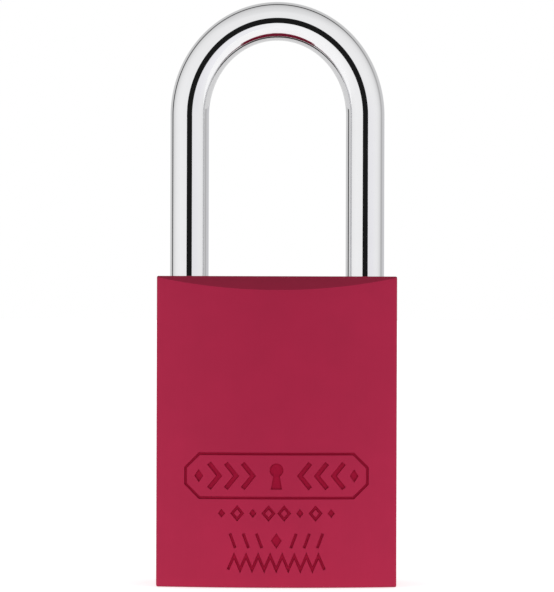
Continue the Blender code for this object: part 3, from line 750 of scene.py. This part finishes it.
def shackle_blank():
    """The smooth bar before it is notched."""
    centres = shackle_centres()

    def ring(centre, angle, inset=0.0):
        out = Vector((math.cos(angle), 0, -math.sin(angle)))
        return circle_about(centre, out, Vector(BACK), SHACKLE_RADIUS - inset, MEDIUM_SIDES)

    def end(centre, angle):
        return [ring(centre + Vector((0, 0, rise)), angle, inset) for rise, inset in BAR_END]

    rings = end(centres[0][0], 0.0)
    rings += [ring(centre, angle) for centre, angle in centres[1:-1]]
    rings += reversed(end(centres[-1][0], math.pi))
    return loft(rings, "shackle_bar")


def ball_mesh(radius):
    bm = bmesh.new()
    bmesh.ops.create_uvsphere(
        bm, u_segments=SMALL_SIDES, v_segments=SMALL_SIDES // 2, radius=radius
    )
    return mesh_from(bm, "ball")


def ring_mesh(major, minor):
    """A torus about Z."""
    steps = SMALL_SIDES
    section = [Vector((major + x, 0, z)) for x, z, _ in circle(minor, steps // 2, 0)]
    turns = [Matrix.Rotation(math.tau * i / steps, 4, "Z") for i in range(steps)]
    return loft([[turn @ point for point in section] for turn in turns], "ring", closed=True)


def make_shackle():
    shackle = new_piece("shackle_bar", shackle_blank(), finishes["chromed_steel"])
    notches = [shifted(ball_mesh(CHANNEL_RADIUS), side * BALL_LOCKED_X, BALL_Z) for side in (-1, 1)]
    flat_x = -LEG_X + SHACKLE_RADIUS - HEEL_FLAT_DEPTH
    groove_z = BALL_Z - SHACKLE_LIFT
    width = SHACKLE_RADIUS + OVERCUT
    flat = block(
        (flat_x, -width, groove_z - HEEL_FLAT_OVERRUN),
        (flat_x + 2 * OVERCUT, width, BALL_Z + HEEL_FLAT_OVERRUN),
    )
    heel_groove = shifted(ring_mesh(LEG_X - BALL_LOCKED_X, CHANNEL_RADIUS), -LEG_X, groove_z)
    cut(shackle, *notches, flat, heel_groove)
    stand_for(shackle, "shackle")


# ---- springs, balls and pins ------------------------------------------------------------------

KEY_PIN_TIP, KEY_PIN_ROUND = 0.35 * MM, 0.20 * MM
DRIVER_LAND, DRIVER_WAIST_START, DRIVER_WAIST_DEPTH = 1.1 * MM, 1.3 * MM, 0.12 * MM
DRIVER_ROUND, PLAIN_PIN_ROUND = 0.12 * MM, 0.15 * MM


def coil(radius, wire, length, turns):
    """A compression spring along Z, its first and last turns closed."""
    steps, sides = 36, 14  # along a turn, and round the wire
    closed_rise = 2.15 * wire
    open_rise = (length - 2 * wire - 2 * closed_rise) / (turns - 2)
    rings = []
    for i in range(turns * steps + 1):
        turn = i / steps
        rise = closed_rise * (min(turn, 1) + max(turn - turns + 1, 0))
        height = wire + rise + open_rise * min(max(turn - 1, 0), turns - 2)
        angle = math.tau * turn
        out = Vector((math.cos(angle), math.sin(angle), 0))
        slope = Vector((-math.sin(angle), math.cos(angle), open_rise / (math.tau * radius)))
        side = slope.normalized().cross(out)
        centre = out * radius + Vector((0, 0, height))
        rings.append(circle_about(centre, out, side, wire, sides))
    return loft(rings, "coil")


def lying_along(node, direction):
    """(matrix, radius, length) of a round node, with its local Z along a direction."""
    low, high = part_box(node)
    direction = Vector(direction)
    length = abs((high - low).dot(direction))
    radius = (high.x - low.x) / 2 if direction.x == 0 else (high.z - low.z) / 2
    start = middle_of(node) - direction * length / 2
    return along(direction, start), radius, length


def make_round(node, direction, profile_maker):
    """A turned piece in the place of a round node. The maker takes its radius and length."""
    matrix, radius, length = lying_along(node, direction)
    mesh = turned(profile_maker(radius, length), SMALL_SIDES, node)
    obj = new_piece(f"{node}_fine", mesh, finishes[SLOT_OF[node]])
    obj.matrix_world = matrix
    stand_for(obj, node)


def make_spring(node, kind, direction):
    matrix, radius, length = lying_along(node, direction)
    mesh = coil(radius - WIRE_OF[kind], WIRE_OF[kind], length, TURNS_OF[kind])
    spring = new_piece(f"{node}_fine", mesh, finishes["spring_steel"])
    spring.matrix_world = matrix
    stand_for(spring, node)


def make_cylinder_springs():
    make_spring("cap_pin_spring", "cap_pin_spring", UP)
    for i in range(1, PIN_COUNT + 1):
        make_spring(f"pin_spring_{i}", "pin_spring", RIGHT)


def make_shackle_spring():
    """The spring under the heel leg, baked where it stands and on no body."""
    matrix, radius, length = lying_along("shackle_spring", UP)
    wire = WIRE_OF["shackle_spring"]
    mesh = moved(coil(radius - wire, wire, length, TURNS_OF["shackle_spring"]), matrix)
    spring = new_piece("shackle_spring_fine", mesh, finishes["spring_steel"])
    shade_round(spring)
    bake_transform(spring)
    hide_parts("shackle_spring")


def make_ball(node):
    low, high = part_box(node)
    mesh = ball_mesh((high.z - low.z) / 2)
    ball = new_piece(f"{node}_fine", mesh, finishes["hardened_steel"])
    ball.matrix_world = Matrix.Translation(middle_of(node))
    stand_for(ball, node, degrees=60)


def key_pin_profile(radius, length):
    """A pin with a blunt cone at its start."""
    tip = KEY_PIN_TIP
    corners = [(0, 0), (tip, 0), (radius, radius - tip), (radius, length), (0, length)]
    return softened(corners, KEY_PIN_ROUND)


def driver_profile(radius, length):
    """A plain pin with rounded ends and a shallow waist."""
    land, start, waist = DRIVER_LAND, DRIVER_WAIST_START, radius - DRIVER_WAIST_DEPTH
    flank = [(radius, land), (waist, start), (waist, length - start), (radius, length - land)]
    return softened([(0, 0), (radius, 0), *flank, (radius, length), (0, length)], DRIVER_ROUND)


def plain_profile(radius, length):
    return softened(drum(radius, 0, length), PLAIN_PIN_ROUND)


def make_pins():
    for i in range(1, PIN_COUNT + 1):
        make_round(f"key_pin_{i}", BACK, key_pin_profile)
        make_round(f"driver_pin_{i}", RIGHT, driver_profile)
    for node in ("cap_pin", *DRILL_GUARD_PINS):
        make_round(node, UP, plain_profile)


# ---- cylinder ---------------------------------------------------------------------------------

PLUG_ROUND, KEYWAY_ROUND, WARD_ROUND = 0.15 * MM, 0.35 * MM, 0.15 * MM
HOUSING_ROUND, COVER_ROUND, CAP_ROUND = 0.20 * MM, 0.12 * MM, 0.12 * MM
BAR_ROUND, COLLAR_ROUND = 0.20 * MM, 0.25 * MM
CAM_CHAMFER, BOSS_ROUND, CAM_SLOT_ROUND = 0.25 * MM, 0.20 * MM, 0.30 * MM
THREAD_DEPTH, THREAD_PITCH, SCREW_END_CHAMFER = 0.16 * MM, 0.45 * MM, 0.35 * MM


def pin_heights():
    return [middle_of(f"key_pin_{i}").z for i in range(1, PIN_COUNT + 1)]


def make_plug():
    profile = [
        (0, PLUG_END_Z),
        (PLUG_NECK_RADIUS, PLUG_END_Z),
        (PLUG_NECK_RADIUS, PLUG_SHOULDER_Z),
        (PLUG_RADIUS, PLUG_SHOULDER_Z),
        (PLUG_RADIUS, PLUG_FLANGE_TOP_Z),
        (PLUG_FLANGE_RADIUS, PLUG_FLANGE_TOP_Z),
        (PLUG_FLANGE_RADIUS, FACE_RECESS),
        (0, FACE_RECESS),
    ]
    blank = turned(softened(profile, PLUG_ROUND), LARGE_SIDES, "plug")
    plug = new_piece("plug_fine", blank, finishes["brass"])
    keyway = block(
        (-KEYWAY_HALF_WIDTH, KEYWAY_LOW_Y, -OVERCUT),
        (KEYWAY_HALF_WIDTH, KEYWAY_HIGH_Y, KEYWAY_TOP_Z),
    )
    ward_x, ward_low, ward_high = WARD_GROOVE
    ward = block((0, ward_low, -OVERCUT), (ward_x, ward_high, KEYWAY_TOP_Z))
    pin_holes = [
        moved(rod(PIN_HOLE_RADIUS, 0, PLUG_FLANGE_RADIUS), along(BACK, (0, KEY_PIN_HOLE_START, z)))
        for z in pin_heights()
    ]
    end_holes = [standing_hole("cap_pin", CAP_PIN_HOLE_RADIUS, CAP_PIN_HOLE_FLOOR_Z, PLUG_END_Z)]
    for node in DRILL_GUARD_PINS:
        end_holes.append(standing_hole(node, DRILL_HOLE_RADIUS, -OVERCUT, DRILL_HOLE_TOP_Z))
    slot_half_width = BAR_HALF_WIDTH + BAR_FIT
    rear_slot = block(
        (-PLUG_NECK_RADIUS - OVERCUT, -slot_half_width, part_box("drive_bar")[0].z - BAR_FIT),
        (PLUG_NECK_RADIUS + OVERCUT, slot_half_width, PLUG_END_Z + OVERCUT),
    )
    cut(
        plug,
        soften(keyway, KEYWAY_ROUND),
        soften(ward, WARD_ROUND),
        joined(pin_holes, "pin_holes"),
        joined(end_holes, "end_holes"),
        rear_slot,
    )
    stand_for(plug, "plug")


def housing_bore():
    counterbore_z = PLUG_FLANGE_TOP_Z + FLANGE_FIT
    counterbore_radius = PLUG_FLANGE_RADIUS + FLANGE_FIT
    profile = [
        (0, -OVERCUT),
        (counterbore_radius, -OVERCUT),
        (counterbore_radius, counterbore_z),
        (HOUSING_BORE_RADIUS, counterbore_z),
        (HOUSING_BORE_RADIUS, HOUSING_TOP_Z + OVERCUT),
        (0, HOUSING_TOP_Z + OVERCUT),
    ]
    return turned(profile, LARGE_SIDES, "bore")


def make_housing():
    """The cylinder's housing with its pin block, and the strip that covers the chambers."""
    profile = softened(drum(HOUSING_RADIUS, FACE_RECESS, HOUSING_TOP_Z), HOUSING_ROUND)
    blank = turned(profile, LARGE_SIDES, "housing")
    housing = new_piece("cylinder_housing_fine", blank, finishes["nickel_silver"])
    pin_block = block(
        (0, -PIN_BLOCK_HALF_WIDTH, FACE_RECESS), (PIN_BLOCK_X, PIN_BLOCK_HALF_WIDTH, HOUSING_TOP_Z)
    )
    combine(housing, [soften(pin_block, HOUSING_ROUND)], "UNION")
    cover_low, cover_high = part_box("pin_chamber_cover")
    fit = Vector((COVER_FIT,) * 3)
    groove_low, groove_high = cover_low - fit, cover_high + fit
    groove_high.x = PIN_BLOCK_X + OVERCUT
    screw_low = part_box("cylinder_screw")[0].z - SCREW_END_FIT
    screw_hole = standing_hole(
        "cylinder_screw", SCREW_HOLE_RADIUS, screw_low, HOUSING_TOP_Z + OVERCUT
    )
    start_x = PLUG_RADIUS - OVERCUT
    chambers = [
        moved(rod(PIN_HOLE_RADIUS, 0, groove_low.x - start_x), along(RIGHT, (start_x, 0, z)))
        for z in pin_heights()
    ]
    cut(housing, housing_bore(), block(groove_low, groove_high), screw_hole)
    cut(housing, joined(chambers, "chambers"))
    stand_for(housing, "cylinder_housing")
    strip = soften(block(cover_low, cover_high), COVER_ROUND)
    cover = new_piece("pin_chamber_cover_fine", strip, finishes["brass"])
    stand_for(cover, "pin_chamber_cover")


def make_tail_cap():
    low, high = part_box("tail_cap")
    inner, outer = PLUG_NECK_RADIUS + CAP_FIT, high.x
    corners = [(outer, low.z), (outer, high.z), (inner, high.z), (inner, low.z)]
    section = softened([corners[-1], *corners, corners[0]], CAP_ROUND)[1:-1]
    rings = [circle(radius, MEDIUM_SIDES, z) for radius, z in section]
    cap = new_piece("tail_cap_fine", loft(rings, "cap", closed=True), finishes["brass"])
    cut(cap, standing_hole("cap_pin", CAP_PIN_HOLE_RADIUS, low.z - OVERCUT, high.z + OVERCUT))
    stand_for(cap, "tail_cap")


def make_screw():
    """A grub screw with a cut thread, a hexagon socket on top and a coned point."""
    low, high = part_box("cylinder_screw")
    radius = (high.y - low.y) / 2
    sides, steps_per_turn = 48, 8
    count = round((high.z - low.z) / THREAD_PITCH * steps_per_turn)
    rings = []
    for k in range(count + 1):
        height = low.z + (high.z - low.z) * k / count
        limit = radius - SCREW_END_CHAMFER + min(height - low.z, high.z - height)
        ring = []
        for i in range(sides):
            angle = math.tau * i / sides
            phase = (height / THREAD_PITCH - i / sides) % 1
            reach = min(radius - THREAD_DEPTH * (1 - abs(2 * phase - 1)), limit)
            ring.append((reach * math.cos(angle), reach * math.sin(angle), height))
        rings.append(ring)
    screw = new_piece("cylinder_screw_fine", loft(rings, "screw"), finishes["hardened_steel"])
    cut(screw, rod(SOCKET_RADIUS, high.z - SOCKET_DEPTH, high.z + OVERCUT, sides=6))
    shifted(screw.data, middle_of("cylinder_screw").x)
    stand_for(screw, "cylinder_screw", degrees=50)


def make_drive_bar():
    low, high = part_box("drive_bar")
    blade = block(
        (-BAR_HALF_LENGTH, -BAR_HALF_WIDTH, low.z), (BAR_HALF_LENGTH, BAR_HALF_WIDTH, high.z)
    )
    bar = new_piece("drive_bar_fine", soften(blade, BAR_ROUND), finishes["hardened_steel"])
    collar = softened(drum(COLLAR_RADIUS, COLLAR_BOTTOM_Z, COLLAR_TOP_Z), COLLAR_ROUND)
    combine(bar, [turned(collar, MEDIUM_SIDES, "collar")], "UNION")
    stand_for(bar, "drive_bar")


def cam_ring(inset, height):
    """The cam's outline, with its pockets towards the released balls."""
    ring = []
    for i in range(LARGE_SIDES):
        angle = math.tau * i / LARGE_SIDES
        low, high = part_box("toe_ball" if math.cos(angle) > 0 else "heel_ball")
        nearest = min(abs(low.x), abs(high.x)) - CAM_GAP
        radius = CAM_RADIUS - (CAM_RADIUS - nearest) * math.cos(angle) ** 2 - inset
        ring.append((radius * math.cos(angle), radius * math.sin(angle), height))
    return ring


def make_actuator():
    bottom, top = (corner.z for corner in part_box("actuator"))
    edge = CAM_CHAMFER
    levels = [(edge, bottom), (0, bottom + edge), (0, CAM_TOP_Z - edge), (edge, CAM_TOP_Z)]
    cam = loft([cam_ring(inset, height) for inset, height in levels], "actuator")
    actuator = new_piece("actuator_fine", cam, finishes["hardened_steel"])
    boss = softened(drum(CAM_BOSS_RADIUS, CAM_TOP_Z - OVERCUT, top), BOSS_ROUND)
    combine(actuator, [turned(boss, SMALL_SIDES, "boss")], "UNION")
    half_length, half_width = BAR_HALF_LENGTH + BAR_FIT, BAR_HALF_WIDTH + BAR_FIT
    slot = block(
        (-half_length, -half_width, bottom - OVERCUT),
        (half_length, half_width, bottom + CAM_SLOT_DEPTH),
    )
    cut(actuator, soften(slot, CAM_SLOT_ROUND))
    stand_for(actuator, "actuator")


# ---- stage ------------------------------------------------------------------------------------

CAMERA_DISTANCE = 550.0 * MM  # from the body's front corners
CAMERA_HEIGHT = 48.4 * MM
CAMERA_LENS, CAMERA_SENSOR = 201.0, 36.0
CAMERA_ROLL = math.radians(-0.17)


def make_camera():
    data = bpy.data.cameras.new("camera")
    data.lens = CAMERA_LENS
    data.sensor_width = CAMERA_SENSOR
    data.clip_start = 0.01
    camera = bpy.data.objects.new("camera", data)
    camera.location = (0, -half_depth(BODY_WIDTH / 2) - CAMERA_DISTANCE, CAMERA_HEIGHT)
    camera.rotation_euler = (math.pi / 2, CAMERA_ROLL, 0)
    bpy.context.scene.collection.objects.link(camera)
    bpy.context.scene.camera = camera


# The light tent is a white sphere round the object. Its walls and its backdrop each fade with the
# angle from an axis near the camera's, and a dark seam lies between them. Height and side change
# both a little. An axis is an azimuth and an elevation from the camera's side.
STUDIO_STRENGTH = 1.352  # as the chrome mirrors it
STUDIO_DIFFUSE = 0.72  # the share of it that lights the object. The floor gives the rest
WALL_AXIS = (math.radians(-3.9), math.radians(-0.4))
BACKDROP_AXIS = (math.radians(-3.25), math.radians(-2.75))
OPENING_AXIS = (0.0, math.radians(0.5))
# (angle from the axis in degrees, brightness)
WALLS = [
    (0, 0.97), (51, 1.0), (72, 0.97), (80, 0.945), (88, 0.90),
    (97, 0.83), (106, 0.72), (110.5, 0.64), (111.3, 0.0), (180, 0.0),
]
BACKDROP = [(0, 0.0), (121.9, 0.0), (122.7, 0.65), (180, 0.70)]
OPENING = [(0, 0.012), (15.5, 0.012), (16.0, 1.0), (180, 1.0)]  # dark, where the camera looks in
# (position to the side or in height from -1 to 1, brightness)
SEAM = [(-1, 0.05), (0.4, 0.05), (0.9, 0.50), (1, 0.50)]
HEIGHTS = [
    (-1, 1.0), (-0.75, 0.97), (-0.6, 0.88), (-0.35, 0.865), (-0.12, 0.81),
    (0.15, 0.80), (0.75, 0.77), (0.9, 0.70), (1, 0.69),
]
# A slightly dimmer, cooler card stands low on the right
CARD_SIDES = [(-1, 0.0), (0.0, 0.0), (0.2, 1.0), (0.7, 0.93), (0.88, 0.4), (1, 0.0)]
CARD_HEIGHTS = [(-1, 1.0), (0.02, 1.0), (0.06, 0.6), (0.25, 0.0), (1, 0.0)]
CARD_COLOUR = (0.920, 0.915, 0.945)
WHITE = (1, 1, 1)


class StudioGraph(Tree):
    """The world's node tree."""

    def __init__(self):
        world = bpy.data.worlds.new("studio")
        bpy.context.scene.world = world
        world.use_nodes = True
        super().__init__(world.node_tree)
        self.tree.nodes.clear()
        self.direction = self.add("ShaderNodeTexCoord").outputs["Generated"]

    def stops(self, value, low, high, pairs):
        """A ramp through (value, brightness) pairs."""
        node = self.add("ShaderNodeValToRGB")
        elements = node.color_ramp.elements
        while len(elements) < len(pairs):
            elements.new(0.5)
        for element, (spot, level) in zip(elements, pairs):
            element.position = (spot - low) / (high - low)
            element.color = (level, level, level, 1)
        share = self.calculate("DIVIDE", self.calculate("SUBTRACT", value, low), high - low)
        self.join(share, node.inputs["Fac"])
        return node.outputs["Color"]

    def around(self, axis, pairs):
        """A brightness that goes by the angle between the direction looked in and an axis."""
        azimuth, elevation = axis
        level = math.cos(elevation)
        dot = self.add("ShaderNodeVectorMath", operation="DOT_PRODUCT")
        dot.inputs[1].default_value = (
            math.sin(azimuth) * level, -math.cos(azimuth) * level, math.sin(elevation)
        )
        self.join(self.direction, dot.inputs[0])
        radians = self.calculate("ARCCOSINE", dot.outputs["Value"], 0.0)
        return self.stops(self.calculate("MULTIPLY", radians, 180 / math.pi), 0, 180, pairs)

    def product(self, *factors):
        result = factors[0]
        for factor in factors[1:]:
            result = self.calculate("MULTIPLY", result, factor)
        return result


def make_world():
    """The tent lights the object. The camera itself sees plain white behind it."""
    g = StudioGraph()
    ray = g.add("ShaderNodeLightPath").outputs
    axes = g.add("ShaderNodeSeparateXYZ")
    g.join(g.direction, axes.inputs[0])
    side, height = axes.outputs["X"], axes.outputs["Z"]
    walls, backdrop = g.around(WALL_AXIS, WALLS), g.around(BACKDROP_AXIS, BACKDROP)
    sheets = g.calculate("MAXIMUM", walls, backdrop)
    level = g.product(
        g.calculate("MAXIMUM", sheets, g.stops(side, -1, 1, SEAM)),
        g.stops(height, -1, 1, HEIGHTS),
        g.around(OPENING_AXIS, OPENING),
        STUDIO_STRENGTH,
        g.between(ray["Is Glossy Ray"], STUDIO_DIFFUSE, 1),
    )
    card = g.product(g.stops(side, -1, 1, CARD_SIDES), g.stops(height, -1, 1, CARD_HEIGHTS))
    tent = g.add("ShaderNodeBackground")
    g.join(g.mix(card, WHITE, CARD_COLOUR), tent.inputs["Color"])
    g.join(level, tent.inputs["Strength"])
    seen = g.add("ShaderNodeBackground")
    seen.inputs["Color"].default_value = (*WHITE, 1)
    chosen = g.add("ShaderNodeMixShader")
    g.join(ray["Is Camera Ray"], chosen.inputs["Fac"])
    g.join(tent.outputs[0], chosen.inputs[1])
    g.join(seen.outputs[0], chosen.inputs[2])
    g.join(chosen.outputs[0], g.add("ShaderNodeOutputWorld").inputs["Surface"])


FLOOR_COLOUR, FLOOR_ROUGHNESS = (0.93, 0.93, 0.93), 0.9
FLOOR_GLOW = 1.0  # as it lights the object
FLOOR_GLOW_SEEN = 0.60  # by the camera
FLOOR_GLOW_MIRRORED = 0.64
FLOOR_GLOW_MIRRORED_BEHIND = 0.25  # on the floor behind the object's middle
FLOOR_SEAM = (26 * MM, 50 * MM)  # behind the middle, where the tent's dark seam crosses the floor
SEAM_COLOUR = (0.02, 0.02, 0.02)
FLOOR_REACH, FLOOR_FRONT = 6.0, 0.12
FLOOR_TOP, FLOOR_BOTTOM = -0.0001, -0.01


def make_floor():
    """A pale, softly glowing floor. Mirrored, it is duller behind the object and has the seam."""
    g = Graph("pale_floor")
    ray = g.add("ShaderNodeLightPath").outputs
    axes = g.add("ShaderNodeSeparateXYZ")
    g.join(g.place, axes.inputs[0])

    def past(distance):
        return g.calculate("GREATER_THAN", axes.outputs["Y"], distance)

    seam = g.calculate("SUBTRACT", past(FLOOR_SEAM[0]), past(FLOOR_SEAM[1]))
    seam = g.calculate("MULTIPLY", seam, ray["Is Glossy Ray"])
    change = g.between(
        past(0.0), FLOOR_GLOW_MIRRORED - FLOOR_GLOW, FLOOR_GLOW_MIRRORED_BEHIND - FLOOR_GLOW
    )
    glow = g.between(ray["Is Camera Ray"], FLOOR_GLOW, FLOOR_GLOW_SEEN)
    glow = g.calculate("ADD", glow, g.calculate("MULTIPLY", change, ray["Is Glossy Ray"]))
    glow = g.calculate("MULTIPLY", glow, g.between(seam, 1, 0))
    g.join(glow, g.shader.inputs["Emission Strength"])
    g.join(g.mix(seam, FLOOR_COLOUR, SEAM_COLOUR), g.shader.inputs["Base Color"])
    g.shader.inputs["Roughness"].default_value = FLOOR_ROUGHNESS
    g.shader.inputs["Emission Color"].default_value = (*WHITE, 1)
    slab = block((-FLOOR_REACH, -FLOOR_FRONT, FLOOR_BOTTOM), (FLOOR_REACH, FLOOR_REACH, FLOOR_TOP))
    floor = new_piece("floor", slab, g.material)


make_body()
make_shackle()
make_shackle_spring()
make_cylinder_springs()
make_ball("toe_ball")
make_ball("heel_ball")
make_pins()
make_plug()
make_housing()
make_tail_cap()
make_screw()
make_drive_bar()
make_actuator()
make_camera()
make_world()
make_floor()
bpy.context.scene.view_settings.view_transform = "Standard"
